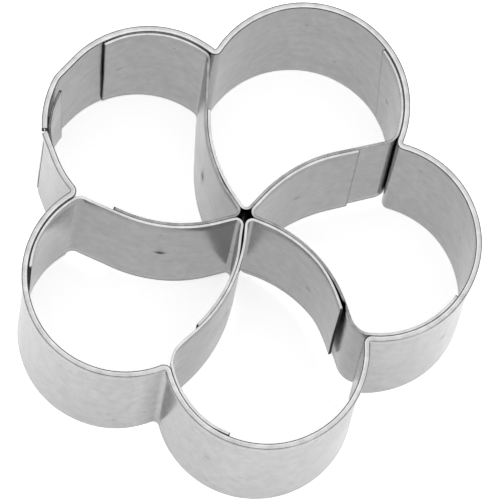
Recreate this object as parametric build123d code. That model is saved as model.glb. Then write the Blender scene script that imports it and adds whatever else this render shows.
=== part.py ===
from build123d import *
import os
from math import acos, atan2, cos, degrees, radians, sin, sqrt, tan

# A flower cutter bent from tinplate: an outer band in five petal lobes with a hemmed rim,
# and five inner strips that wall the petals off from one another and meet in a small star.
# Lengths are in millimetres and angles in degrees. The band's cutting edge stands on z = 0.
# The cutter is bent by hand, so no two petals are quite alike: a list in square brackets gives
# one value for each petal, going round anticlockwise from the first. A share is a share of the
# cutter's width, so the whole plan grows with it.

# Sheet and overall form. The lobes are arcs, with their centres on one circle.
petal_count = 5
first_petal_angle = 90.0
cutter_width = 50.2
cutter_height = 25.0
sheet_thickness = 0.3
lobe_circle_share = 0.2878
lobe_radius_shares = [0.2141, 0.2112, 0.2092, 0.2102, 0.2112]
notch_bend_radius = 0.75

# Hem of the outer band, folded outwards along the top
hem_depth = 1.5
hem_fold_gap = 0.1

# Lap where the two ends of the band overlap, on the left flank of one petal. The end with the
# tongue leaves the lobe along a straight tangent, so that the two hems meet in line.
# The lap's angles are turned from that petal's axis, anticlockwise seen from above.
lap_petal = 1
lap_butt_angle = 48.0
lap_tongue_end_angle = 21.0
lap_joggle_angle = 1.0
lap_joggle_bend_radius = 2.5
lap_clearance = 0.12
hem_butt_gap = 0.35
tongue_drop = 1.6

# Inner strips. Each divider between two petals starts at the star, bends at a knee and then
# aims at a point just outside the notch. Its swings turn the knee and the aim point
# anticlockwise from the line that halves the angle between the two petals.
# A divider belongs to the petal on its anticlockwise side, whose strip has its long leg there.
strip_top_drop = 0.4
divider_clearance = 0.12
hook_clearance = 0.15
star_share = 0.0112
star_angle = 108.8
knee_shares = [0.1633, 0.1633, 0.1633, 0.1633, 0.1773]
knee_swings = [23.0, 21.9, 20.6, 20.4, 26.6]
knee_bend_shares = [0.3108, 0.3108, 0.3108, 0.3108, 0.2928]
aim_share = 0.3865
aim_swings = [0.6, 1.6, -0.5, -4.5, -5.2]
tip_bend_radius = 0.65
corner_bend_radii = [1.6, 1.0, 1.2, 2.6, 2.2]

# How far the short leg stops short of its aim point, how far short of the petal's axis the hook
# ends, and how far the hook's end leans
short_leg_shortfalls = [6.8, 5.5, 7.0, 5.5, 5.0]
hook_end_angles = [27.0, 17.0, 33.0, 32.0, 26.0]
hook_end_leans = [4.0, 1.8, 0, 0, 0]

# A strip's lower edge lies in a sloping plane above the band's cutting edge. Its height is given
# at the aim point of the long leg, at the star and at the aim point of the short leg.
long_leg_rises = [1.9, 0.3, 2.2, 0.6, 3.5]
star_rises = [0.4, 0.3, 1.9, 3.0, 1.0]
short_leg_rises = [1.0, 1.1, 2.4, 4.9, 2.2]

# Spot welds: a round nugget in the clearance, and a shallow electrode dent on both faces.
# The setback is the distance from a hook's end to the edge of its nugget.
nugget_diameter = 1.0
dent_diameter = 0.7
dent_depth = 0.05
divider_weld_reaches = [0.6, 0.8, 0.6, -0.5, 0.6]
divider_weld_heights = [12.5, 12.5, 13.8, 12.5, 12.5]
hook_weld_setback = 1.1
hook_weld_height = 12.5
lap_weld_angle = 33.0
lap_weld_heights = [6.0, 18.0]

# How far a cutting block reaches past what it cuts
cut_overrun = 2.0

# Values that follow from the sizes above
petal_step = 360.0 / petal_count
half_step = petal_step / 2
half_sheet = sheet_thickness / 2
up = Vector(0, 0, 1)
lobe_circle_radius = cutter_width * lobe_circle_share
aim_distance = cutter_width * aim_share
flap_inner = half_sheet + hem_fold_gap
flap_outer = flap_inner + sheet_thickness
leg_offset = half_sheet + divider_clearance / 2
strip_top = cutter_height - strip_top_drop
half_butt_angle = degrees(hem_butt_gap / (cutter_width * lobe_radius_shares[lap_petal])) / 2


def polar(distance, angle):
    return Vector(distance * cos(radians(angle)), distance * sin(radians(angle)))


def left_of(direction):
    return Vector(-direction.Y, direction.X)


star_centre = polar(cutter_width * star_share, star_angle)


def petal_angle(petal):
    return first_petal_angle + petal * petal_step


def lobe_centre(petal):
    return polar(lobe_circle_radius, petal_angle(petal))


def lobe_radius(petal):
    return cutter_width * lobe_radius_shares[petal % petal_count]


def hook_radius(petal):
    return lobe_radius(petal) - sheet_thickness - hook_clearance


def lobe_point(petal, radius, turn):
    return lobe_centre(petal) + polar(radius, petal_angle(petal) + turn)


def lobe_arc(petal, radius, start_turn, end_turn):
    middle = lobe_point(petal, radius, (start_turn + end_turn) / 2)
    return ThreePointArc(lobe_point(petal, radius, start_turn), middle, lobe_point(petal, radius, end_turn))


def notch_centre(petal):
    # the notch bend touches this petal's lobe and the next one anticlockwise from outside
    here = lobe_centre(petal)
    across = lobe_centre(petal + 1) - here
    reach = lobe_radius(petal) + notch_bend_radius
    next_reach = lobe_radius(petal + 1) + notch_bend_radius
    foot = (across.length**2 + reach**2 - next_reach**2) / (2 * across.length)
    along = across.normalized()
    return here + along * foot - left_of(along) * sqrt(reach**2 - foot**2)


def turn_to(petal, point):
    # how far the point is turned from the petal's axis, about the centre of the lobe
    axis = polar(1, petal_angle(petal))
    spoke = point - lobe_centre(petal)
    return degrees(atan2(spoke.dot(left_of(axis)), spoke.dot(axis)))


def notch_arc(petal):
    # the bend between this petal and the next one anticlockwise
    centre = notch_centre(petal)
    return ThreePointArc(
        lobe_point(petal, lobe_radius(petal), turn_to(petal, centre)),
        centre - centre.normalized() * notch_bend_radius,
        lobe_point(petal + 1, lobe_radius(petal + 1), turn_to(petal + 1, centre)),
    )


def lobe_side(petal, start_turn, end_turn):
    return lobe_arc(petal, lobe_radius(petal), start_turn, end_turn)


def bend_onto_circle(start, along, centre, radius, bend_radius):
    # a line from start, heading along, with the circle's centre on its left, ends in a bend of
    # bend_radius that runs on into the circle; returns where the bend begins and where it ends
    inward = left_of(along)
    to_centre = centre - start
    reach = radius - bend_radius
    drop = to_centre.dot(inward) - bend_radius
    bend_begin = start + along * (to_centre.dot(along) + sqrt(reach**2 - drop**2))
    bend_centre = bend_begin + inward * bend_radius
    bend_end = centre + (bend_centre - centre).normalized() * radius
    return bend_begin, bend_end


def upright_section(profile, path):
    # the profile's x runs outwards, to the right of the path, and its y runs up
    along = path % 0
    plane = Plane(origin=path @ 0, x_dir=along.cross(up), z_dir=-along)
    return plane * profile


def bent_sheet(profile, edges):
    path = Wire([edge.edge() for edge in edges])
    return sweep(upright_section(profile, path), path=path)


def flat_profile(bottom, top):
    return make_face(Polyline(
        (-half_sheet, bottom),
        (half_sheet, bottom),
        (half_sheet, top),
        (-half_sheet, top),
        close=True,
    ))


def hemmed_profile():
    fold_radius = sheet_thickness + hem_fold_gap / 2
    fold_middle = half_sheet + hem_fold_gap / 2
    spring = cutter_height - fold_radius
    hem_foot = cutter_height - hem_depth
    return make_face([
        Polyline((half_sheet, spring), (half_sheet, 0), (-half_sheet, 0), (-half_sheet, spring)).edges(),
        ThreePointArc((-half_sheet, spring), (fold_middle, cutter_height), (flap_outer, spring)),
        Polyline((flap_outer, spring), (flap_outer, hem_foot), (flap_inner, hem_foot),
                 (flap_inner, spring)).edges(),
        ThreePointArc((flap_inner, spring), (fold_middle, spring + hem_fold_gap / 2), (half_sheet, spring)),
    ])


def lap_radius():
    # the circle on which the overlapping end clears the tongue
    return lobe_radius(lap_petal) + sheet_thickness + lap_clearance


def lap_joggle():
    # past the tongue's end the band leaves the lobe along a straight tangent
    # and bends onto the wider lap circle
    start = lobe_point(lap_petal, lobe_radius(lap_petal), lap_joggle_angle)
    along = left_of(polar(1, petal_angle(lap_petal) + lap_joggle_angle))
    begin, end = bend_onto_circle(start, along, lobe_centre(lap_petal), lap_radius(), lap_joggle_bend_radius)
    finish = lobe_point(lap_petal, lap_radius(), lap_butt_angle - half_butt_angle)
    bend = TangentArc(begin, end, tangent=along)
    lap = TangentArc(end, finish, tangent=bend % 1)
    return [Line(start, begin), bend, lap]


def outer_band():
    # the hem's first end stands on the lap circle, and the tongue keeps to the lobe under it
    butt = lap_butt_angle + half_butt_angle
    root = butt + degrees(acos(lobe_radius(lap_petal) / lap_radius()))
    flank_start = lobe_point(lap_petal, lap_radius(), butt)
    hemmed = [Line(flank_start, lobe_point(lap_petal, lobe_radius(lap_petal), root))]
    hemmed += [lobe_side(lap_petal, root, turn_to(lap_petal, notch_centre(lap_petal)))]
    for petal in range(lap_petal + 1, lap_petal + petal_count):
        first = turn_to(petal, notch_centre(petal - 1))
        last = turn_to(petal, notch_centre(petal))
        hemmed += [notch_arc(petal - 1), lobe_side(petal, first, last)]
    hemmed += [notch_arc(lap_petal - 1)]
    hemmed += [lobe_side(lap_petal, turn_to(lap_petal, notch_centre(lap_petal - 1)), lap_joggle_angle)]
    hemmed += lap_joggle()
    tongue = lobe_side(lap_petal, lap_tongue_end_angle, root)
    tongue_sheet = bent_sheet(flat_profile(0, cutter_height - tongue_drop), [tongue])
    return bent_sheet(hemmed_profile(), hemmed) + tongue_sheet


def knee_bend_radius(petal):
    return cutter_width * knee_bend_shares[petal % petal_count]


def divider_corners(petal, offset):
    # the knee and the aim point of the petal's divider, moved sideways to its left by offset
    middle_line = petal_angle(petal) - half_step
    divider = petal % petal_count
    knee = polar(cutter_width * knee_shares[divider], middle_line + knee_swings[divider])
    aim = polar(aim_distance, middle_line + aim_swings[divider])
    first = left_of((knee - star_centre).normalized())
    second = left_of((aim - knee).normalized())
    moved_knee = knee + (first + second) * (offset / (1 + first.dot(second)))
    return moved_knee, aim + second * offset


def round_corner(before, corner, after, radius):
    # the points where a bend of that radius leaves one straight and joins the next
    into = (corner - before).normalized()
    out = (after - corner).normalized()
    cut = radius * tan(acos(into.dot(out)) / 2)
    return corner - into * cut, corner + out * cut


def leg_edges(corners, radii):
    # straights joined by bends, without the last straight
    edges = []
    here = corners[0]
    for before, corner, after, radius in zip(corners, corners[1:], corners[2:], radii):
        bend_begin, bend_end = round_corner(before, corner, after, radius)
        edges += [Line(here, bend_begin)]
        edges += [TangentArc(bend_begin, bend_end, tangent=corner - before)]
        here = bend_end
    return edges, here


def strip_tip(petal):
    # the corner at the star, as far inside the angle between the two dividers as the legs are
    long_way = divider_corners(petal, 0)[0] - star_centre
    short_way = divider_corners(petal + 1, 0)[0] - star_centre
    inward = (long_way.normalized() + short_way.normalized()).normalized()
    half_opening = acos(inward.dot(long_way.normalized()))
    return star_centre + inward * (leg_offset / sin(half_opening))


def strip_path(petal):
    short_knee, short_aim = divider_corners(petal + 1, -leg_offset)
    long_knee, long_aim = divider_corners(petal, leg_offset)
    short_radius = knee_bend_radius(petal + 1) - leg_offset
    long_radius = knee_bend_radius(petal) + leg_offset
    radii = [short_radius, tip_bend_radius, long_radius]
    edges, here = leg_edges([short_aim, short_knee, strip_tip(petal), long_knee, long_aim], radii)
    along = (long_aim - long_knee).normalized()
    radius = hook_radius(petal)
    begin, end = bend_onto_circle(long_knee, along, lobe_centre(petal), radius, corner_bend_radii[petal])
    corner = TangentArc(begin, end, tangent=along)
    hook_end = lobe_point(petal, radius, -hook_end_angles[petal])
    hook = TangentArc(end, hook_end, tangent=corner % 1)
    edges += [Line(here, begin), corner, hook]
    path = Wire([edge.edge() for edge in edges])
    return path.trim(short_leg_shortfalls[petal] / path.length, 1)


def lean_wedge(petal):
    # what the leaning end of the hook leaves out, widening downwards from its upper corner
    turn = -hook_end_angles[petal]
    outward = polar(1, petal_angle(petal) + turn)
    corner = lobe_point(petal, hook_radius(petal), turn) + up * strip_top
    end_face = Plane(origin=corner, x_dir=outward, z_dir=left_of(outward))
    block = Box(2 * cut_overrun, cutter_height, cut_overrun, align=(Align.CENTER, Align.MIN, Align.MIN))
    return end_face * Rot(X=-hook_end_leans[petal]) * block


def below_lower_edge(petal):
    star = star_centre + up * star_rises[petal]
    long_way = divider_corners(petal, 0)[1] + up * long_leg_rises[petal] - star
    short_way = divider_corners(petal + 1, 0)[1] + up * short_leg_rises[petal] - star
    lower_edge = Plane(origin=star, x_dir=long_way, z_dir=long_way.cross(short_way))
    breadth = 4 * aim_distance
    return lower_edge * Box(breadth, breadth, cutter_height, align=(Align.CENTER, Align.CENTER, Align.MAX))


def petal_strip(petal):
    strip = bent_sheet(flat_profile(0, strip_top), strip_path(petal).edges())
    strip -= below_lower_edge(petal)
    if hook_end_leans[petal] > 0:
        strip -= lean_wedge(petal)
    return strip


def divider_weld_site(petal):
    # near the middle of the knee bend of the petal's divider
    knee, aim = divider_corners(petal, 0)
    back, ahead = round_corner(star_centre, knee, aim, knee_bend_radius(petal))
    bend = TangentArc(back, ahead, tangent=knee - star_centre)
    reach = (bend.length / 2 + divider_weld_reaches[petal]) / bend.length
    return Plane(origin=bend @ reach + up * divider_weld_heights[petal], z_dir=left_of(bend % reach))


def hook_weld_site(petal):
    # midway between the hook and the band, set back from where the leaning end is at that height
    lean = (strip_top - hook_weld_height) * tan(radians(hook_end_leans[petal]))
    setback = lean + hook_weld_setback + nugget_diameter / 2
    turn = -hook_end_angles[petal] - degrees(setback / hook_radius(petal))
    place = lobe_point(petal, lobe_radius(petal) - half_sheet - hook_clearance / 2, turn)
    return Plane(origin=place + up * hook_weld_height, z_dir=place - lobe_centre(petal))


def lap_weld_site(height):
    place = lobe_point(lap_petal, lobe_radius(lap_petal) + half_sheet + lap_clearance / 2, lap_weld_angle)
    return Plane(origin=place + up * height, z_dir=place - lobe_centre(lap_petal))


def weld(site, clearance, sheets):
    # the nugget fills the clearance between the two sheets, which it only touches
    core = site * Cylinder(nugget_diameter / 2, clearance + sheet_thickness)
    nugget = core - sheets
    # the dents are what the electrodes press into the two outer faces
    stack = clearance + 2 * sheet_thickness
    dents = site * Cylinder(dent_diameter / 2, stack + 2 * dent_depth)
    dents -= site * Cylinder(dent_diameter / 2, stack - 2 * dent_depth)
    return nugget, dents


def build_cutter():
    band = outer_band()
    strips = [petal_strip(petal) for petal in range(petal_count)]
    nuggets = {"divider_spot_welds": [], "hook_spot_welds": [], "lap_spot_welds": []}
    dents = []
    for petal in range(petal_count):
        pair = [strips[petal], strips[petal - 1]]
        nugget, marks = weld(divider_weld_site(petal), divider_clearance, pair)
        nuggets["divider_spot_welds"] += [nugget]
        dents += [marks]
        nugget, marks = weld(hook_weld_site(petal), hook_clearance, [band, strips[petal]])
        nuggets["hook_spot_welds"] += [nugget]
        dents += [marks]
    for height in lap_weld_heights:
        nugget, marks = weld(lap_weld_site(height), lap_clearance, [band])
        nuggets["lap_spot_welds"] += [nugget]
        dents += [marks]
    nodes = {"outer_band": band - dents}
    for petal, strip in enumerate(strips):
        nodes[f"petal_strip_{petal + 1}"] = strip - dents
    for name, group in nuggets.items():
        nodes[name] = Compound([nugget.solid() for nugget in group])
    return nodes


def centre_on_base(nodes):
    # the origin is the middle of the cutter's outline, at the level of the cutting edges
    box = Compound([shape for shape in nodes.values()]).bounding_box()
    middle = box.center()
    shift = Pos(-middle.X, -middle.Y, 0)
    return {name: shift * shape for name, shape in nodes.items()}


cutter = centre_on_base(build_cutter())
os.makedirs("parts", exist_ok=True)
for name, shape in cutter.items():
    export_step(shape, f"parts/{name}.step")
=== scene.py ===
import cmath
import math

import bpy
import numpy as np
from mathutils import Matrix, Vector


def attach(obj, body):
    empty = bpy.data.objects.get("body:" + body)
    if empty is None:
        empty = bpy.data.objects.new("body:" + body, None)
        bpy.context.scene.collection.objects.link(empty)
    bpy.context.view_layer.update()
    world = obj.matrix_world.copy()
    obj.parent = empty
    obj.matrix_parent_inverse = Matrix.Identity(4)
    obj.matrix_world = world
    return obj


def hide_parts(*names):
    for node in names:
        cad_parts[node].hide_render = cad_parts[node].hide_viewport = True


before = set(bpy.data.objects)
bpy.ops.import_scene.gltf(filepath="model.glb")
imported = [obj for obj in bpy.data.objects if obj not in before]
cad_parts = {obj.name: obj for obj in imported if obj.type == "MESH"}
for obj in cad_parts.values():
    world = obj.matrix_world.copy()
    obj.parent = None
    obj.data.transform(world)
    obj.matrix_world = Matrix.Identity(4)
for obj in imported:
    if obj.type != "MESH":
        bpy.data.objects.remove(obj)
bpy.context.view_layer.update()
print("frame loaded:", ", ".join(sorted(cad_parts)))

# Lengths below are in millimetres and angles in degrees, in the CAD's own frame.
millimetre = 0.001

# Camera and stage

photoView = {
    "aimAt": (1.4005, -1.1311, 12.5),
    "distance": 1093.6,
    "elevation": 75.19,
    "azimuth": 14.86,
    "roll": 12.32,
    "focalPixels": 10114.6,
    "frameWidth": 500,
}

studio = {
    "floorColour": (0.90, 0.90, 0.90),
    "floorGlow": 0.61,
    "floorSize": 6000,
    "skyStrength": 0.40,
    "topLight": {"power": 33, "size": 2600, "place": (0, 0, 1500), "aim": (0, 0, 0)},
    "sideLight": {"power": 1.5, "size": 500, "place": (900, -500, 700), "aim": (0, 0, 0)},
}


def placeCamera(view):
    # the camera looks back along (sin a cos e, -cos a cos e, sin e), turned by the roll about that line
    e, a, r = (math.radians(view[k]) for k in ("elevation", "azimuth", "roll"))
    back = Vector((math.sin(a) * math.cos(e), -math.cos(a) * math.cos(e), math.sin(e)))
    levelRight = Vector((0, 0, 1)).cross(back).normalized()
    levelUp = back.cross(levelRight)
    right = levelRight * math.cos(r) + levelUp * math.sin(r)
    above = back.cross(right)
    camera = bpy.data.objects.new("photo_camera", bpy.data.cameras.new("photo_camera"))
    camera.data.sensor_width = 36
    camera.data.lens = 36 * view["focalPixels"] / view["frameWidth"]
    camera.data.clip_start = 0.01
    turn = Matrix((right, above, back)).transposed().to_4x4()
    place = (Vector(view["aimAt"]) + back * view["distance"]) * millimetre
    camera.matrix_world = Matrix.Translation(place) @ turn
    bpy.context.scene.collection.objects.link(camera)
    bpy.context.scene.camera = camera


def addSoftbox(name, box):
    light = bpy.data.lights.new(name, "AREA")
    light.energy = box["power"]
    light.shape = "DISK"
    light.size = box["size"] * millimetre
    lamp = bpy.data.objects.new(name, light)
    place = Vector(box["place"]) * millimetre
    toward = Vector(box["aim"]) * millimetre - place
    lamp.matrix_world = Matrix.Translation(place) @ toward.to_track_quat("-Z", "Y").to_matrix().to_4x4()
    bpy.context.scene.collection.objects.link(lamp)


def buildStage(values):
    half = values["floorSize"] / 2 * millimetre
    mesh = bpy.data.meshes.new("studio_floor")
    corners = [(-half, -half, 0), (half, -half, 0), (half, half, 0), (-half, half, 0)]
    mesh.from_pydata(corners, [], [(0, 1, 2, 3)])
    floor = bpy.data.objects.new("studio_floor", mesh)
    bpy.context.scene.collection.objects.link(floor)
    paper = bpy.data.materials.new("pale_paper")
    paper.use_nodes = True
    shader = paper.node_tree.nodes["Principled BSDF"]
    shader.inputs["Base Color"].default_value = (*values["floorColour"], 1)
    shader.inputs["Roughness"].default_value = 0.9
    shader.inputs["Specular IOR Level"].default_value = 0.0
    shader.inputs["Emission Color"].default_value = (1, 1, 1, 1)
    shader.inputs["Emission Strength"].default_value = values["floorGlow"]
    mesh.materials.append(paper)
    world = bpy.data.worlds.new("studio_sky")
    bpy.context.scene.world = world
    world.use_nodes = True
    sky = world.node_tree.nodes["Background"]
    sky.inputs["Color"].default_value = (1, 1, 1, 1)
    sky.inputs["Strength"].default_value = values["skyStrength"]
    addSoftbox("top_light", values["topLight"])
    addSoftbox("side_light", values["sideLight"])
    bpy.context.scene.view_settings.view_transform = "Standard"


placeCamera(photoView)
buildStage(studio)
print("camera and stage placed")

# Paths of the bent sheet

endShadeReach = 0.09  # how far from a cut end the sheet is darkened, as painted shade of the gap at the end, partly the dull burr of the cut


def followBends(path, distances):
    # a straight: x = x0 + d cos h0, y = y0 + d sin h0. A bend of length L, turning through T, with r = L / T:
    # x = x0 + r (sin(h0 + T d / L) - sin h0), y = y0 - r (cos(h0 + T d / L) - cos h0)
    points = np.empty((len(distances), 2))
    headings = np.empty(len(distances))
    begin = 0.0
    x, y = path["start"]
    heading = math.radians(path["heading"])
    for length, turn in path["bends"]:
        turn = math.radians(turn)
        here = (distances >= begin) | (begin == 0)
        along = np.append(distances[here] - begin, length)
        h = heading + turn * along / length
        if turn:
            radius = length / turn
            px = x + radius * (np.sin(h) - math.sin(heading))
            py = y - radius * (np.cos(h) - math.cos(heading))
        else:
            px = x + along * math.cos(heading)
            py = y + along * math.sin(heading)
        points[here] = np.column_stack((px, py))[:-1]
        headings[here] = h[:-1]
        begin, x, y, heading = begin + length, px[-1], py[-1], h[-1]
    return points, headings


def pathLength(path):
    return sum(length for length, turn in path["bends"])


def nearestDistance(path, spot):
    # the distance along the path at which it comes nearest to the spot
    distances = np.linspace(0, pathLength(path), 4000)
    points, headings = followBends(path, distances)
    return distances[np.argmin(np.hypot(*(points - np.array(spot)).T))]


def pathStations(path, step, bendStep, spots):
    # even steps along straights and bends, fine ones about each spot and two close to each cut end
    marks = [0.0]
    for length, turn in path["bends"]:
        count = max(1, math.ceil(length / step), math.ceil(abs(turn) / bendStep))
        marks += list(marks[-1] + length * (np.arange(count) + 1) / count)
    nearEnds = [endShadeReach, 1.6 * endShadeReach, marks[-1] - 1.6 * endShadeReach, marks[-1] - endShadeReach]
    return mergeFine(np.sort(np.array(marks + nearEnds)), spots)


def cutEnds(path, s):
    # 1 from each cut end as far as its painted shade reaches, and 0 beyond
    nearest = np.minimum(s, pathLength(path) - s)
    return 1 - bump01((nearest - endShadeReach) / (0.6 * endShadeReach))


def mergeFine(marks, spots):
    # adds closely spaced marks within 0.8 of each spot, and drops coarse ones there
    fine = np.linspace(-0.8, 0.8, 15)
    for spot in spots:
        near = spot + fine
        near = near[(near > marks[0] + 0.05) & (near < marks[-1] - 0.05)]
        far = (np.abs(marks - spot) > 0.85) | (marks == marks[0]) | (marks == marks[-1])
        marks = np.sort(np.concatenate((marks[far], near)))
    return marks


def bump01(x):
    # smooth step: 3 x^2 - 2 x^3 with x held between 0 and 1
    x = np.clip(x, 0, 1)
    return x * x * (3 - 2 * x)


def handWaves(distance, height, size, seed):
    # what is left of hand bending: a sum of six sine waves of the distance and the height
    rng = np.random.default_rng(seed)
    total = np.zeros(np.broadcast(distance, height).shape)
    for k in range(6):
        waveLength, tilt = rng.uniform(7, 26), rng.uniform(-0.9, 0.9)
        total += np.sin(2 * math.pi * (distance + tilt * height) / waveLength + rng.uniform(0, 2 * math.pi))
    return size * total / 6


def weldDent(away, weld):
    # the electrode's mark: a flat-bottomed dent with a low rim, of the distance from its middle
    dent = np.exp(-(away / (0.5 * weld["diameter"])) ** 4)
    rim = np.exp(-((away - 0.75 * weld["diameter"]) / (0.2 * weld["diameter"])) ** 2)
    return weld["depth"] * (dent - 0.3 * rim)


def heatSpot(away):
    # how strongly the weld's heat has stained the sheet, of the distance from its middle
    return np.exp(-(away / 0.6) ** 4)


# Plan of the cutter

# The plan's points are complex numbers, x + iy, and a share is a share of the cutter's width. Values in
# brackets are for petals 1 to 5, anticlockwise. A divider belongs to the petal on its anticlockwise side.
plan = {
    "width": 50.2, "sheet": 0.3, "hemFoldGap": 0.1, "firstPetalAngle": 90.0,
    "lobeCircleShare": 0.2878, "lobeRadiusShares": (0.2141, 0.2112, 0.2092, 0.2102, 0.2112),
    "notchBendRadius": 0.75,
    "starShare": 0.0112, "starAngle": 108.8,
    "kneeShares": (0.1633, 0.1633, 0.1633, 0.1633, 0.1773), "kneeSwings": (23.0, 21.9, 20.6, 20.4, 26.6),
    "kneeBendShares": (0.3108, 0.3108, 0.3108, 0.3108, 0.2928),
    "aimShare": 0.3865, "aimSwings": (0.6, 1.6, -0.5, -4.5, -5.2),
    "tipBendRadius": 0.65, "cornerBendRadii": (1.6, 1.0, 1.2, 2.6, 2.2),
    "legClearance": 0.12, "hookClearance": 0.15,
    "shortLegShortfalls": (6.8, 5.5, 7.0, 5.5, 5.0), "hookEndAngles": (27.0, 17.0, 33.0, 32.0, 26.0),
    "longLegRises": (1.9, 0.3, 2.2, 0.6, 3.5), "starRises": (0.4, 0.3, 1.9, 3.0, 1.0),
    "shortLegRises": (1.0, 1.1, 2.4, 4.9, 2.2),
    "dividerWeldReaches": (0.6, 0.8, 0.6, -0.5, 0.6), "dividerWeldHeights": (12.5, 12.5, 13.8, 12.5, 12.5),
    "hookWeldHeight": 12.5, "hookWeldSetback": 1.1, "nuggetDiameter": 1.0,
}
lap = {
    "petal": 1, "buttAngle": 48.0, "hemButtGap": 0.35, "clearance": 0.12,
    "joggleAngle": 1.0, "joggleBendRadius": 2.5, "tongueEndAngle": 21.0, "weldAngle": 33.0,
}

petalCount = len(plan["lobeRadiusShares"])
petalStep = 360 / petalCount
halfSheet = plan["sheet"] / 2
legOffset = halfSheet + plan["legClearance"] / 2
lapRoom = plan["sheet"] + lap["clearance"]  # how far the lap lies outside the lobe it laps


def ofPetal(key, petal):
    return plan[key][petal % petalCount]


def polar(distance, angle):
    return cmath.rect(distance, math.radians(angle))


def unit(vector):
    return vector / abs(vector)


def turnBetween(before, after):
    # how far the second direction is turned anticlockwise from the first
    return math.degrees(cmath.phase(after / before))


def bend(radius, turn):
    # length = radius |turn|
    return radius * math.radians(abs(turn)), turn


starCentre = polar(plan["width"] * plan["starShare"], plan["starAngle"])


def petalAngle(petal):
    return plan["firstPetalAngle"] + petal * petalStep


def lobeCentre(petal):
    return polar(plan["width"] * plan["lobeCircleShare"], petalAngle(petal))


def lobeRadius(petal):
    return plan["width"] * ofPetal("lobeRadiusShares", petal)


def hookRadius(petal):
    return lobeRadius(petal) - plan["sheet"] - plan["hookClearance"]


def lobePoint(petal, radius, turn):
    return lobeCentre(petal) + polar(radius, petalAngle(petal) + turn)


def notchCentre(petal):
    # the bend touches this petal's lobe and the next one from outside: its centre lies where circles about
    # the two lobes, each wider by the notch bend's radius, cross
    here = lobeCentre(petal)
    across = lobeCentre(petal + 1) - here
    reach = lobeRadius(petal) + plan["notchBendRadius"]
    nextReach = lobeRadius(petal + 1) + plan["notchBendRadius"]
    foot = (abs(across) ** 2 + reach ** 2 - nextReach ** 2) / (2 * abs(across))
    return here + unit(across) * complex(foot, -math.sqrt(reach ** 2 - foot ** 2))


def turnTo(petal, point):
    # how far the point is turned from the petal's axis, about the lobe's centre
    return turnBetween(polar(1, petalAngle(petal)), point - lobeCentre(petal))


def ontoCircle(start, along, centre, radius, bendRadius, finish):
    # a straight, a left bend and an arc that lead from start onto the circle about centre, on the left.
    # The bend's centre lies radius - bendRadius from the circle's and bendRadius to the left of the straight
    toCentre = (centre - start) / along
    run = toCentre.real + math.sqrt((radius - bendRadius) ** 2 - (toCentre.imag - bendRadius) ** 2)
    spoke = start + along * complex(run, bendRadius) - centre
    return [(run, 0), bend(bendRadius, turnBetween(-1j * along, spoke)),
            bend(radius, turnBetween(spoke, finish - centre))]


def roundCorner(before, corner, after, radius):
    # the turn at a rounded corner, and how much the bend cuts off each straight: radius tan(turn / 2)
    turn = turnBetween(corner - before, after - corner)
    return turn, radius * math.tan(math.radians(abs(turn)) / 2)


def pathFrom(start, direction, bends):
    heading = math.degrees(cmath.phase(direction))
    return {"start": (start.real, start.imag), "heading": heading, "bends": bends}


def shortenStart(path, cut):
    points, headings = followBends(path, np.array([cut]))
    bends = []
    for length, turn in path["bends"]:
        kept = max(0, length - cut)
        cut = max(0, cut - length)
        if kept > 0:
            bends.append((kept, turn * kept / length))
    return {"start": tuple(points[0]), "heading": math.degrees(headings[0]), "bends": bends}


def tongueRoot():
    # where the flank, a tangent of the lobe, leaves it for the hem's first end on the lap circle
    radius = lobeRadius(lap["petal"])
    butt = lap["buttAngle"] + math.degrees(lap["hemButtGap"] / radius) / 2
    return butt, butt + math.degrees(math.acos(radius / (radius + lapRoom)))


def bandPath():
    petal = lap["petal"]
    radius = lobeRadius(petal)
    butt, root = tongueRoot()
    start = lobePoint(petal, radius + lapRoom, butt)
    flank = lobePoint(petal, radius, root) - start
    bends = [(abs(flank), 0)]
    turned = root
    for here in range(petal, petal + petalCount):
        notch = notchCentre(here)
        notchTurn = turnBetween(lobeCentre(here) - notch, lobeCentre(here + 1) - notch)
        bends.append(bend(lobeRadius(here), turnTo(here, notch) - turned))
        bends.append(bend(plan["notchBendRadius"], notchTurn))
        turned = turnTo(here + 1, notch)
    joggle = lap["joggleAngle"]
    bends.append(bend(radius, joggle - turned))
    along = 1j * polar(1, petalAngle(petal) + joggle)
    finish = lobePoint(petal, radius + lapRoom, 2 * lap["buttAngle"] - butt)
    bends += ontoCircle(lobePoint(petal, radius, joggle), along, lobeCentre(petal), radius + lapRoom,
                        lap["joggleBendRadius"], finish)
    return pathFrom(start, flank, bends)


def tonguePath():
    butt, root = tongueRoot()
    petal, end = lap["petal"], lap["tongueEndAngle"]
    radius = lobeRadius(petal)
    along = 1j * polar(1, petalAngle(petal) + end)
    return pathFrom(lobePoint(petal, radius, end), along, [bend(radius, root - end)])


def dividerCorners(petal, offset):
    # the divider's knee and aim point, moved to its left by offset
    middleLine = petalAngle(petal) - petalStep / 2
    knee = polar(plan["width"] * ofPetal("kneeShares", petal), middleLine + ofPetal("kneeSwings", petal))
    aim = polar(plan["width"] * plan["aimShare"], middleLine + ofPetal("aimSwings", petal))
    first, second = 1j * unit(knee - starCentre), 1j * unit(aim - knee)
    shared = (first * second.conjugate()).real
    return knee + (first + second) * offset / (1 + shared), aim + second * offset


def kneeBendRadius(petal):
    return plan["width"] * ofPetal("kneeBendShares", petal)


def stripTip(petal):
    # the corner at the star, legOffset inside both dividers
    longWay = unit(dividerCorners(petal, 0)[0] - starCentre)
    shortWay = unit(dividerCorners(petal + 1, 0)[0] - starCentre)
    inward = unit(longWay + shortWay)
    return starCentre + inward * legOffset / math.sin(abs(cmath.phase(longWay / inward)))


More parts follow.
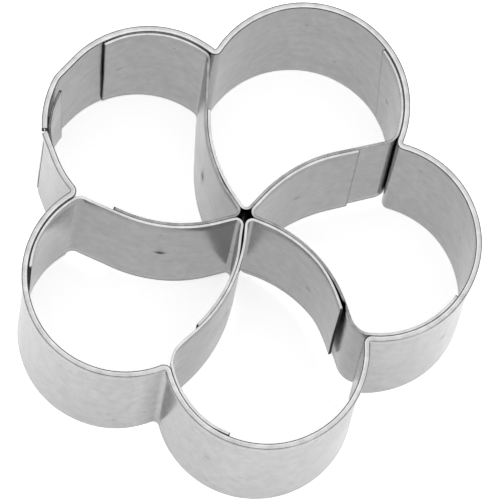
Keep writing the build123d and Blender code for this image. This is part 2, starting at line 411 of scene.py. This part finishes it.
def stripPath(petal):
    shortKnee, shortAim = dividerCorners(petal + 1, -legOffset)
    longKnee, longAim = dividerCorners(petal, legOffset)
    corners = [shortAim, shortKnee, stripTip(petal), longKnee, longAim]
    shortRadius = kneeBendRadius(petal + 1) - legOffset
    longRadius = kneeBendRadius(petal) + legOffset
    radii = [shortRadius, plan["tipBendRadius"], longRadius]
    bends = []
    here = shortAim
    for before, corner, after, radius in zip(corners, corners[1:], corners[2:], radii):
        turn, cut = roundCorner(before, corner, after, radius)
        bends += [(abs(corner - here) - cut, 0), bend(radius, turn)]
        here = corner + unit(after - corner) * cut
    finish = lobePoint(petal, hookRadius(petal), -ofPetal("hookEndAngles", petal))
    bends += ontoCircle(here, unit(longAim - longKnee), lobeCentre(petal), hookRadius(petal),
                        ofPetal("cornerBendRadii", petal), finish)
    path = pathFrom(shortAim, shortKnee - shortAim, bends)
    return shortenStart(path, ofPetal("shortLegShortfalls", petal))


def dividerWeldPlace(petal):
    # near the middle of the divider's knee bend
    knee, aim = dividerCorners(petal, 0)
    along = unit(knee - starCentre)
    turn, cut = roundCorner(starCentre, knee, aim, kneeBendRadius(petal))
    kneeBend = pathFrom(knee - along * cut, along, [bend(kneeBendRadius(petal), turn)])
    reach = pathLength(kneeBend) / 2 + ofPetal("dividerWeldReaches", petal)
    points, headings = followBends(kneeBend, np.array([reach]))
    return complex(*points[0])


def hookWeldPlace(petal, top, lean):
    # between the hook and the band, set back from where the hook's leaning end is at the weld's height
    leanedBack = (top - plan["hookWeldHeight"]) * math.tan(math.radians(lean))
    setback = leanedBack + plan["hookWeldSetback"] + plan["nuggetDiameter"] / 2
    turn = -ofPetal("hookEndAngles", petal) - math.degrees(setback / hookRadius(petal))
    return lobePoint(petal, lobeRadius(petal) - halfSheet - plan["hookClearance"] / 2, turn)


def lapWeldPlace():
    radius = lobeRadius(lap["petal"]) + halfSheet + lap["clearance"] / 2
    return lobePoint(lap["petal"], radius, lap["weldAngle"])


def outlineMiddle():
    # the middle of the box round the hem's outer face, which is the CAD's origin
    path = bandPath()
    points, headings = followBends(path, np.linspace(0, pathLength(path), 20001))
    outward = np.column_stack((np.sin(headings), -np.cos(headings)))
    outer = points + outward * (halfSheet + plan["hemFoldGap"] + plan["sheet"])
    return (outer.min(axis=0) + outer.max(axis=0)) / 2


planMiddle = outlineMiddle()


def centred(point):
    # a point of the plan in the CAD's frame
    return point.real - planMiddle[0], point.imag - planMiddle[1]


def centredPath(path):
    return {**path, "start": centred(complex(*path["start"]))}


print("plan worked out")

# Meshes


def sheetMesh(name, places, along, around, marks, capFaces):
    # a closed section (second index) carried along a path (first index), with its two ends capped
    steps, ring = places.shape[:2]
    vertex = np.arange(steps * ring).reshape(steps, ring)
    nextRing = np.roll(vertex, -1, axis=1)
    quads = np.stack((vertex[:-1], nextRing[:-1], nextRing[1:], vertex[1:]), axis=-1).reshape(-1, 4)
    uStart, uEnd = np.repeat(along[:-1], ring), np.repeat(along[1:], ring)
    vStart, vEnd = np.tile(around[:-1], steps - 1), np.tile(around[1:], steps - 1)
    uvs = np.stack((uStart, vStart, uStart, vEnd, uEnd, vEnd, uEnd, vStart), axis=-1).reshape(-1, 2)
    faces = quads.tolist()
    capUvs = []
    for base, distance, flip in ((vertex[0], along[0], False), (vertex[-1], along[-1], True)):
        for face in capFaces:
            face = face[::-1] if flip else face
            faces.append([int(base[k]) for k in face])
            capUvs += [(distance, around[k]) for k in face]
    mesh = bpy.data.meshes.new(name)
    mesh.from_pydata((places.reshape(-1, 3) * millimetre).tolist(), [], faces)
    layer = mesh.uv_layers.new(name="sheet")
    uvs = np.concatenate((uvs, np.array(capUvs).reshape(-1, 2)))
    layer.data.foreach_set("uv", uvs.ravel().astype(np.float32))
    for key, values in marks.items():
        mark = mesh.attributes.new(key, "FLOAT", "POINT")
        mark.data.foreach_set("value", values.ravel().astype(np.float32))
    mesh.polygons.foreach_set("use_smooth", np.ones(len(faces), bool))
    mesh.polygons.foreach_set("material_index", (np.arange(len(faces)) >= len(quads)).astype(np.int32))
    mesh.set_sharp_from_angle(angle=math.radians(50))
    mesh.validate()
    return mesh


def placeSection(path, distances, side, height):
    # place = path(distance) + right(distance) side + up height, with right = (sin h, -cos h)
    points, headings = followBends(path, distances.ravel())
    right = np.column_stack((np.sin(headings), -np.cos(headings)))
    moved = points + right * side.reshape(-1, 1)
    return np.column_stack((moved, height.ravel())).reshape(*side.shape, 3)


def ringLengths(side, level):
    # how far round the section each point lies, back to the first one
    steps = np.hypot(np.diff(np.append(side, side[0])), np.diff(np.append(level, level[0])))
    return np.concatenate(([0], np.cumsum(steps)))


def ladderCap(ring):
    # quads between the left face and the right face of a plain sheet
    return [[k, ring - 1 - k, ring - 2 - k, k + 1] for k in range(ring // 2 - 1)]


# Tinplate

tinplate = {
    "colour": 0.37,
    "edgeTint": 0.72,
    "roughness": 0.14,
    "dullPatches": 0.07,
    "rollingLines": 0.05,
    "scratchDepth": 0.004,
    "grainShare": 0.4,
    "lineTone": 0.008,
    "patchTone": 0.03,
    "mottle": 0.045,
    "speckScale": 330.0,
    "speckShare": 0.5,
    "speckDark": 0.45,
    "heatMark": 1.0,
}


def addNode(tree, kind, values=None, **settings):
    node = tree.nodes.new(kind)
    for key, value in settings.items():
        setattr(node, key, value)
    for key, value in (values or {}).items():
        node.inputs[key].default_value = value
    return node


def link(tree, source, target):
    tree.links.new(source, target)


def stretchedNoise(tree, source, scale, detail, roughness=0.5):
    mapping = addNode(tree, "ShaderNodeMapping", {"Scale": scale})
    link(tree, source, mapping.inputs["Vector"])
    noise = addNode(tree, "ShaderNodeTexNoise", {"Scale": 1.0, "Detail": detail, "Roughness": roughness})
    link(tree, mapping.outputs["Vector"], noise.inputs["Vector"])
    return noise.outputs["Fac"]


def toRange(tree, source, low, high, outLow, outHigh):
    ends = {"From Min": low, "From Max": high, "To Min": outLow, "To Max": outHigh}
    node = addNode(tree, "ShaderNodeMapRange", ends)
    link(tree, source, node.inputs["Value"])
    return node.outputs["Result"]


def combine(tree, operation, a, b):
    node = addNode(tree, "ShaderNodeMath", operation=operation)
    for socket, value in zip(node.inputs, (a, b)):
        if isinstance(value, (int, float)):
            socket.default_value = value
        else:
            link(tree, value, socket)
    return node.outputs["Value"]


def tinplateMaterial(name, values):
    # rolling lines run along the sheet, with dull patches over them. The mesh gives weld stains, rubbed
    # patches, and tones for the edges and the fold, which hold painted shade at cut ends, top edges and an
    # open seam and painted light on a rubbed notch
    material = bpy.data.materials.new(name)
    material.use_nodes = True
    tree = material.node_tree
    shader = tree.nodes["Principled BSDF"]
    shader.inputs["Metallic"].default_value = 1.0
    shader.inputs["Specular Tint"].default_value = (values["edgeTint"],) * 3 + (1,)
    sheet = addNode(tree, "ShaderNodeUVMap", uv_map="sheet").outputs["UV"]
    place = addNode(tree, "ShaderNodeTexCoord").outputs["Object"]
    heat = addNode(tree, "ShaderNodeAttribute", attribute_name="weldStain").outputs["Fac"]
    edgeTone = addNode(tree, "ShaderNodeAttribute", attribute_name="edgeTone").outputs["Fac"]
    scuff = addNode(tree, "ShaderNodeAttribute", attribute_name="scuff").outputs["Fac"]
    lines = stretchedNoise(tree, sheet, (0.10, 7.0, 1.0), 4, 0.65)
    patches = stretchedNoise(tree, place, (160, 160, 120), 3, 0.6)
    grain = stretchedNoise(tree, sheet, (9.0, 14.0, 1.0), 2, 0.6)
    mottle = stretchedNoise(tree, place, (900, 900, 600), 4, 0.6)
    specks = addNode(tree, "ShaderNodeTexVoronoi", {"Scale": values["speckScale"]})
    link(tree, place, specks.inputs["Vector"])
    chosen = addNode(tree, "ShaderNodeSeparateColor")
    link(tree, specks.outputs["Color"], chosen.inputs["Color"])
    share = values["speckShare"]
    speck = combine(tree, "MULTIPLY", toRange(tree, specks.outputs["Distance"], 0.05, 0.085, 1, 0),
                    toRange(tree, chosen.outputs["Red"], share, share + 0.04, 0, 1))
    tone = combine(tree, "ADD", toRange(tree, lines, 0.3, 0.7, -values["lineTone"], values["lineTone"]),
                   toRange(tree, patches, 0.3, 0.7, -values["patchTone"], values["patchTone"]))
    tone = combine(tree, "ADD", tone, toRange(tree, mottle, 0.3, 0.7, -values["mottle"], values["mottle"]))
    tone = combine(tree, "ADD", tone, values["colour"])
    # the mesh's tones: painted shade at the cut ends, the top edges and an open seam, and painted light on a
    # rubbed notch
    tone = combine(tree, "ADD", tone, edgeTone)
    tone = combine(tree, "MULTIPLY", tone, toRange(tree, heat, 0, 1, 1, 1 - values["heatMark"]))
    tone = combine(tree, "MULTIPLY", tone, toRange(tree, speck, 0, 1, 1, 1 - values["speckDark"]))
    link(tree, tone, shader.inputs["Base Color"])
    rough = combine(tree, "ADD", toRange(tree, patches, 0.35, 0.65, 0, values["dullPatches"]),
                    toRange(tree, lines, 0.3, 0.7, 0, values["rollingLines"]))
    rough = combine(tree, "ADD", rough, scuff)
    link(tree, combine(tree, "ADD", rough, values["roughness"]), shader.inputs["Roughness"])
    bump = addNode(tree, "ShaderNodeBump", {"Strength": 0.5, "Distance": values["scratchDepth"] * millimetre})
    relief = combine(tree, "ADD", lines, combine(tree, "MULTIPLY", grain, values["grainShare"]))
    link(tree, relief, bump.inputs["Height"])
    link(tree, bump.outputs["Normal"], shader.inputs["Normal"])
    return material


rawCutShade = {"dark": 0.05, "light": 0.13, "roughness": 0.85}


def rawCutShadeMaterial(values):
    # the sheared ends, where bare steel shows, made dark as painted shade of the gaps at the ends
    material = bpy.data.materials.new("raw_cut_shade_look")
    material.use_nodes = True
    tree = material.node_tree
    shader = tree.nodes["Principled BSDF"]
    shader.inputs["Roughness"].default_value = values["roughness"]
    shader.inputs["Specular IOR Level"].default_value = 0.1
    place = addNode(tree, "ShaderNodeTexCoord").outputs["Object"]
    grain = stretchedNoise(tree, place, (4000, 4000, 1500), 3)
    link(tree, toRange(tree, grain, 0.3, 0.7, values["dark"], values["light"]), shader.inputs["Base Color"])
    return material


rawEdgeShade = rawCutShadeMaterial(rawCutShade)
bandTin = tinplateMaterial("band_tinplate_look", tinplate)
stripTin = tinplateMaterial("strip_tinplate_look", {**tinplate, "roughness": 0.13})
print("tinplate mixed")

# Inner strips

# one value here darkens the sheet near its cut ends, as painted shade of the gaps there
stripSheet = {
    "thickness": plan["sheet"], "top": 24.6, "cornerRounding": 0.03, "rows": 13, "step": 0.6, "bendStep": 5.0,
    "squeezeBelow": 8.0, "legPress": 0.045, "hookPress": 0.13, "leanReach": 4.0, "startPeelReach": 6.0,
    "endPeelReach": 3.0, "weldReach": 0.4, "endPaintedShade": 0.2,
}
spotWeld = {"diameter": 0.7, "depth": 0.05}

# edges: the tone added on the top edge of the short leg, the long leg and the hook. Below 0 is darker, partly
# the cut edge's duller grey and partly painted shade for an edge that tilts from the light.
# gaps: where a leg bows away from its neighbour, as (distance, half width, how far).
# peels: how far the two ends stand off what they lie against, at bottom, middle and top.
strips = {
    "petal_strip_1": {
        "lean": 4.0, "seed": 11, "wave": 0.03, "edges": (-0.05, -0.20, -0.08), "gaps": [],
        "startPeel": (0, 0, 0), "endPeel": (0.08, 0.06, 0.0),
    },
    "petal_strip_2": {
        "lean": 1.8, "seed": 12, "wave": 0.03, "edges": (-0.22, -0.20, -0.06), "gaps": [(17.4, 2.2, 0.09)],
        "startPeel": (0, 0, 0), "endPeel": (0, 0.12, 0.04),
    },
    "petal_strip_3": {
        "lean": 0.0, "seed": 13, "wave": 0.03, "edges": (-0.08, -0.06, -0.06), "gaps": [(11.0, 3.2, 0.09)],
        "startPeel": (0, 0, 0), "endPeel": (0.2, 0.2, 0.06),
    },
    "petal_strip_4": {
        "lean": 0.0, "seed": 14, "wave": 0.03, "edges": (-0.06, -0.06, -0.08), "gaps": [(16.6, 3.2, 0.09)],
        "startPeel": (0.24, 0.36, 0.22), "endPeel": (0.1, 0.1, 0.1),
    },
    "petal_strip_5": {
        "lean": 0.0, "seed": 15, "wave": 0.03, "edges": (-0.06, -0.22, -0.08), "gaps": [],
        "startPeel": (0, 0, 0), "endPeel": (0, 0, 0),
    },
}
for petal, shape in enumerate(strips.values()):
    shape.update(centredPath(stripPath(petal)))

# where the strips are welded to each other and to the band: the place, the height, how dark the heat left
# the spot and how much taller than wide its stain is
stains = {"dividerDark": (0.2, 1.0, 1.0, 0.35, 0.2), "dividerTall": (1, 4, 1, 1, 1),
          "hookDark": (0.15, 0.15, 0.15, 0.1, 0.1)}
dividerWelds = [
    (centred(dividerWeldPlace(petal)), plan["dividerWeldHeights"][petal], dark, stains["dividerTall"][petal])
    for petal, dark in enumerate(stains["dividerDark"])]
hookWelds = [
    (centred(hookWeldPlace(petal, stripSheet["top"], shape["lean"])), plan["hookWeldHeight"], dark, 1)
    for petal, (shape, dark) in enumerate(zip(strips.values(), stains["hookDark"]))]

# painted shade on petal_strip_5, in the open seam behind the end of strip 4's short leg
seamShade = {"on": "petal_strip_5", "place": (13.7, -5.1), "reach": 0.45, "dark": 0.28}


def lowerEdge(petal):
    # a sloping plane through its height at the star and at the outer ends of the petal's two dividers
    rises = (ofPetal("longLegRises", petal), ofPetal("shortLegRises", petal))
    aims = (dividerCorners(petal, 0)[1], dividerCorners(petal + 1, 0)[1])
    return (ofPetal("starRises", petal), *((*centred(aim), rise) for aim, rise in zip(aims, rises)))


star = centred(starCentre)
lowerEdges = {name: lowerEdge(petal) for petal, name in enumerate(strips)}


def lowerEdgeHeight(name, points):
    # height = starHeight + a (x - xStar) + b (y - yStar), with a and b solved from the two outer ends
    starHeight, *ends = lowerEdges[name]
    ends = np.array(ends)
    slopes = np.linalg.solve(ends[:, :2] - star, ends[:, 2] - starHeight)
    return starHeight + (points - star) @ slopes


def stripRing(sheet, rows):
    # the section from the middle of the lower edge up the left face to the middle of the top, and down again
    half, c = sheet["thickness"] / 2, sheet["cornerRounding"]
    t = np.radians([0, 30, 60, 90])
    side = np.concatenate((
        -half + c * (1 - np.sin(t)), np.full(len(rows), -half), -half + c * (1 - np.cos(t))))
    height = np.concatenate((c * (1 - np.cos(t)), rows, sheet["top"] - c * (1 - np.sin(t))))
    return np.concatenate((side, -side[::-1])), np.concatenate((height, height[::-1]))


def legEnds(shape):
    # the distances at which the tip's bend begins, the tip's bend ends and the hook's arc begins
    lengths = [length for length, turn in shape["bends"]]
    sharpest = int(np.argmax([turn / length for length, turn in shape["bends"][:-2]]))
    return sum(lengths[:sharpest]), sum(lengths[:sharpest + 1]), sum(lengths[:-1])


def stripPress(shape, sheet, s, height):
    # each leg is pressed closer to its neighbour than the clearance, and the hook closer to the band
    tipBegin, tipEnd, hookBegin = legEnds(shape)
    length = pathLength(shape)
    press = sheet["legPress"] + (sheet["hookPress"] - sheet["legPress"]) * bump01((s - hookBegin + 2) / 2)
    for middle, reach, gap in shape["gaps"]:
        press = press - gap * bump01(1 - np.abs(s - middle) / reach)
    levels = (0, 0.5 * sheet["top"], sheet["top"])
    start, end = sheet["startPeelReach"], sheet["endPeelReach"]
    startPeel = np.interp(height, levels, shape["startPeel"]) * bump01(1 - s / start)
    endPeel = np.interp(height, levels, shape["endPeel"]) * bump01((s - length + end) / end)
    return press - startPeel - endPeel


def topEdge(side, level, sheet):
    # 1 on the flat of the top edge and 0 elsewhere
    flat = (np.abs(side) < sheet["thickness"] / 2 - 0.01) & (level > sheet["top"] / 2)
    return flat[None, :].astype(float)


def edgeTones(shape, s):
    tipBegin, tipEnd, hookBegin = legEnds(shape)
    shortLeg, longLeg, hook = shape["edges"]
    tone = shortLeg + (longLeg - shortLeg) * bump01((s - tipBegin) / (tipEnd - tipBegin))
    return tone + (hook - longLeg) * bump01((s - hookBegin + 1) / 2)


def buildStrip(name, shape, sheet):
    length = pathLength(shape)
    welds = [(nearestDistance(shape, spot), z, dark, tall) for spot, z, dark, tall in dividerWelds + hookWelds
             if nearestGap(shape, spot) < sheet["weldReach"]]
    distances = pathStations(shape, sheet["step"], sheet["bendStep"], [spot for spot, z, dark, tall in welds])
    c = sheet["cornerRounding"]
    weldLevels = sorted({z for spot, z, dark, tall in welds})
    rows = mergeFine(np.linspace(c, sheet["top"] - c, sheet["rows"])[1:-1], weldLevels)
    side, level = stripRing(sheet, rows)
    points, headings = followBends(shape, distances)
    bottom = lowerEdgeHeight(name, points)[:, None]
    squeeze = sheet["squeezeBelow"]
    height = np.where(level < squeeze, bottom + (squeeze - bottom) * level / squeeze, level)
    s = np.repeat(distances[:, None], len(level), axis=1)
    heat = np.zeros(height.shape)
    push = handWaves(s, height, shape["wave"], shape["seed"]) + stripPress(shape, sheet, s, height)
    leftFace = (side < -0.1)[None, :]
    for spot, z, dark, tall in welds:
        push = push + leftFace * weldDent(np.hypot(s - spot, height - z), spotWeld)
        heat = np.maximum(heat, dark * heatSpot(np.hypot(s - spot, (height - z) / tall)) * leftFace)
    reach, slope = sheet["leanReach"], math.tan(math.radians(shape["lean"]))
    lean = bump01((s - length + reach) / reach) * (sheet["top"] - height) * slope
    # the top edge's tone, partly painted shade, and painted shade at the cut ends
    tone = topEdge(side, level, sheet) * edgeTones(shape, s) - sheet["endPaintedShade"] * cutEnds(shape, s)
    # painted shade darkens this strip's face in the seam behind the neighbour's short-leg end
    if name == seamShade["on"]:
        behind = np.abs(s - nearestDistance(shape, seamShade["place"])) / seamShade["reach"]
        tone = tone - seamShade["dark"] * bump01(1.5 - behind) * (side > 0.1)[None, :]
    places = placeSection(shape, s - lean, side[None, :] + push, height)
    mesh = sheetMesh(name + "_sheet", places, distances, ringLengths(side, level),
                     {"weldStain": heat, "edgeTone": tone, "scuff": 0 * heat}, ladderCap(len(side)))
    mesh.materials.append(stripTin)
    mesh.materials.append(rawEdgeShade)
    strip = bpy.data.objects.new(name + "_sheet", mesh)
    bpy.context.scene.collection.objects.link(strip)
    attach(strip, "root")
    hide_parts(name)
    return strip


def nearestGap(path, spot):
    points, headings = followBends(path, np.linspace(0, pathLength(path), 4000))
    return np.hypot(*(points - np.array(spot)).T).min()


for name, shape in strips.items():
    buildStrip(name, shape, stripSheet)
print("inner strips bent")

# Outer band

band = {
    "thickness": plan["sheet"], "height": 24.997, "hemDepth": 1.5, "foldGap": 0.096, "foldSquareness": 4.0,
    "cornerRounding": 0.06, "rows": 12, "step": 0.55, "bendStep": 7.0, "wave": 0.03, "seed": 31,
    "hemWave": 0.05, "hemNip": 0.05, "nipShare": 0.6, "flapFootWave": 0.12, "foldTone": -0.075,
    "scuffsWithPaintedLight": [((-1.2, -20.2), 1.9, 0.5)], "scuffPaintedLight": 0.24,
    **centredPath(bandPath()),
}
# the tongue's top edge is darkened as painted shade of its gap against the outer sheet, and its cut ends as
# painted shade too
tongue = {
    "thickness": plan["sheet"], "top": 23.4, "cornerRounding": 0.03, "rows": 12, "step": 0.5, "bendStep": 4.0,
    "edgeTone": -0.30, "endPaintedShade": 0.25, "press": 0.05, "peel": (0.42, 0.36, 0.25), "peelReach": 5.0,
    "endSlant": 1.5, "rootBegin": 6.2, "rootReach": 1.9, "rootThinning": 0.5,
    **centredPath(tonguePath()),
}
lapWeld = {"place": centred(lapWeldPlace()), "heights": (6.0, 18.0), "dark": 0.3}


def hemRing(sheet, rows):
    # up the left face, over the fold, down the flap to its foot, up the fold gap and down the right face. The
    # fold is (|x| / r) ^ n + (|y| / r) ^ n = 1, a half round whose top the folding press has flattened
    half, gap, c = sheet["thickness"] / 2, sheet["foldGap"], sheet["cornerRounding"]
    foldMiddle = half + gap / 2
    radius = sheet["thickness"] + gap / 2
    spring = sheet["height"] - radius
    foot = sheet["height"] - sheet["hemDepth"]
    flapIn, flapOut = half + gap, half + gap + sheet["thickness"]
    t = np.radians([0, 30, 60, 90])
    over = np.radians(np.arange(180, -1, -15))
    power = 2 / sheet["foldSquareness"]
    overSide = foldMiddle + radius * np.sign(np.cos(over)) * np.abs(np.cos(over)) ** power
    overHeight = spring + radius * np.abs(np.sin(over)) ** power
    under = np.radians(np.arange(0, 181, 45))
    flapRows = np.linspace(spring - 0.15, foot + c + 0.15, 4)
    gapRows = np.linspace(foot + c + 0.1, spring - 0.1, 4)
    rows = rows[rows < spring - 0.1]
    outerRows = rows[::-1]
    side = np.concatenate((
        -half + c * (1 - np.sin(t)), np.full(len(rows), -half), overSide,
        np.full(4, flapOut), flapOut - c * (1 - np.cos(t)), flapIn + c * (1 - np.sin(t)), np.full(4, flapIn),
        foldMiddle + gap / 2 * np.cos(under), np.full(len(rows), half), half - c * (1 - np.cos(t))))
    height = np.concatenate((
        c * (1 - np.cos(t)), rows, overHeight,
        flapRows, foot + c * (1 - np.sin(t)), foot + c * (1 - np.cos(t)), gapRows,
        spring + gap / 2 * np.sin(under), outerRows, c * (1 - np.sin(t))))
    return side, height


def buildBand():
    welds = [(nearestDistance(band, spot), z, dark) for spot, z, dark, tall in hookWelds]
    lapSpot = nearestDistance(band, lapWeld["place"])
    welds += [(lapSpot, z, lapWeld["dark"]) for z in lapWeld["heights"]]
    distances = pathStations(band, band["step"], band["bendStep"], [spot for spot, z, dark in welds])
    weldLevels = sorted({z for spot, z, dark in welds})
    rows = mergeFine(np.linspace(0.3, band["height"] - 0.8, band["rows"]), weldLevels)
    side, level = hemRing(band, rows)
    s = np.repeat(distances[:, None], len(side), axis=1)
    height = np.repeat(level[None, :], len(distances), axis=0)
    push = handWaves(s, height, band["wave"], band["seed"])
    heat = np.zeros(height.shape)
    rightFace = ((side > 0.1) & (side < 0.16))[None, :]
    for spot, z, dark in welds:
        away = np.hypot(s - spot, height - z)
        push = push - rightFace * weldDent(away, spotWeld)
        heat = np.maximum(heat, dark * heatSpot(away) * rightFace)
    # the flap's foot runs up and down, and the flap is nipped in towards the wall below the fold
    flap = (side > 0.2)[None, :]
    foot = bump01((23.9 - level) / 0.3)[None, :] * flap
    height = height + foot * handWaves(s, 0 * s, band["flapFootWave"], band["seed"] + 1)
    nip = band["hemNip"] - handWaves(s, 0 * s, band["hemWave"], band["seed"] + 2)
    push = push - flap * bump01((24.6 - level) / 1.1)[None, :] * band["nipShare"] * nip
    # the fold is coloured darker, most on its outer half, and at one notch the wall is rubbed matt and made
    # paler with painted light
    fold = (level > band["height"] - 0.3) & (side > -0.14)
    foldTone = band["foldTone"] * bump01((side - 0.02) / 0.2) + 0.3 * band["foldTone"]
    tone = np.where(fold, foldTone, 0)[None, :] + 0 * s
    scuff = np.zeros(height.shape)
    for spot, reach, strength in band["scuffsWithPaintedLight"]:
        scuff = np.maximum(scuff, strength * bump01(1.4 - np.abs(s - nearestDistance(band, spot)) / reach))
    scuff = scuff * ~fold[None, :]
    # painted light: the rubbed notch is made paler to lift the dark reflection of the next lobe's wall
    tone = tone + band["scuffPaintedLight"] * scuff
    places = placeSection(band, s, side[None, :] + push, height)
    return sheetMesh("outer_band_sheet", places, distances, ringLengths(side, level),
                     {"weldStain": heat, "edgeTone": tone, "scuff": scuff}, [list(range(len(side)))[::-1]])


def buildTongue():
    spot = nearestDistance(tongue, lapWeld["place"])
    distances = pathStations(tongue, tongue["step"], tongue["bendStep"], [spot])
    rows = mergeFine(np.linspace(0.3, tongue["top"] - 0.3, tongue["rows"]), lapWeld["heights"])
    side, level = stripRing(tongue, rows)
    s = np.repeat(distances[:, None], len(side), axis=1)
    height = np.repeat(level[None, :], len(distances), axis=0)
    heat = np.zeros(height.shape)
    push = np.zeros(height.shape)
    leftFace = (side < -0.1)[None, :]
    for z in lapWeld["heights"]:
        away = np.hypot(s - spot, height - z)
        push = push + leftFace * weldDent(away, spotWeld)
        heat = np.maximum(heat, lapWeld["dark"] * heatSpot(away) * leftFace)
    # the root thins out inside the flank, and the free end stands off the lap and is cut on a slant
    tuck = 1 - tongue["rootThinning"] * bump01((s - tongue["rootBegin"]) / tongue["rootReach"])
    peel = np.interp(height, (0, tongue["top"] / 2, tongue["top"]), tongue["peel"])
    free = 1 - s / tongue["peelReach"]
    push = push + tongue["press"] * bump01(s / 3) * bump01((6.5 - s) / 2) - peel * np.clip(free, 0, 1) ** 1.5
    slant = tongue["endSlant"] * (1 - height / tongue["top"]) * np.clip(free, 0, 1)
    places = placeSection(tongue, s - slant, side[None, :] * tuck + push, height)
    # painted shade on the top edge, along the gap against the outer sheet, and at the cut ends
    tone = topEdge(side, level, tongue) * tongue["edgeTone"] - tongue["endPaintedShade"] * cutEnds(tongue, s)
    return sheetMesh("lap_tongue_sheet", places, distances, ringLengths(side, level),
                     {"weldStain": heat, "edgeTone": tone, "scuff": 0 * s}, ladderCap(len(side)))


bandPiece = bpy.data.objects.new("outer_band_sheet", buildBand())
tonguePiece = bpy.data.objects.new("lap_tongue_sheet", buildTongue())
for piece in (bandPiece, tonguePiece):
    piece.data.materials.append(bandTin)
    piece.data.materials.append(rawEdgeShade)
    bpy.context.scene.collection.objects.link(piece)
    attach(piece, "root")
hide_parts("outer_band")
print("outer band bent and hemmed")

# Spot welds

fusedSteel = {"dark": 0.14, "light": 0.26, "smoothest": 0.4, "roughest": 0.6, "grainScale": 2500}


def weldMaterial(values):
    material = bpy.data.materials.new("fused_steel_look")
    material.use_nodes = True
    tree = material.node_tree
    shader = tree.nodes["Principled BSDF"]
    shader.inputs["Metallic"].default_value = 1.0
    place = addNode(tree, "ShaderNodeTexCoord").outputs["Object"]
    mottle = stretchedNoise(tree, place, (values["grainScale"],) * 3, 2)
    tone = toRange(tree, mottle, 0.3, 0.7, values["dark"], values["light"])
    link(tree, tone, shader.inputs["Base Color"])
    rough = toRange(tree, mottle, 0.3, 0.7, values["smoothest"], values["roughest"])
    link(tree, rough, shader.inputs["Roughness"])
    return material


nuggetLook = weldMaterial(fusedSteel)
for node in ("divider_spot_welds", "hook_spot_welds", "lap_spot_welds"):
    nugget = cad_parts[node]
    for slot in nugget.material_slots:
        slot.material = nuggetLook
print("welds finished")
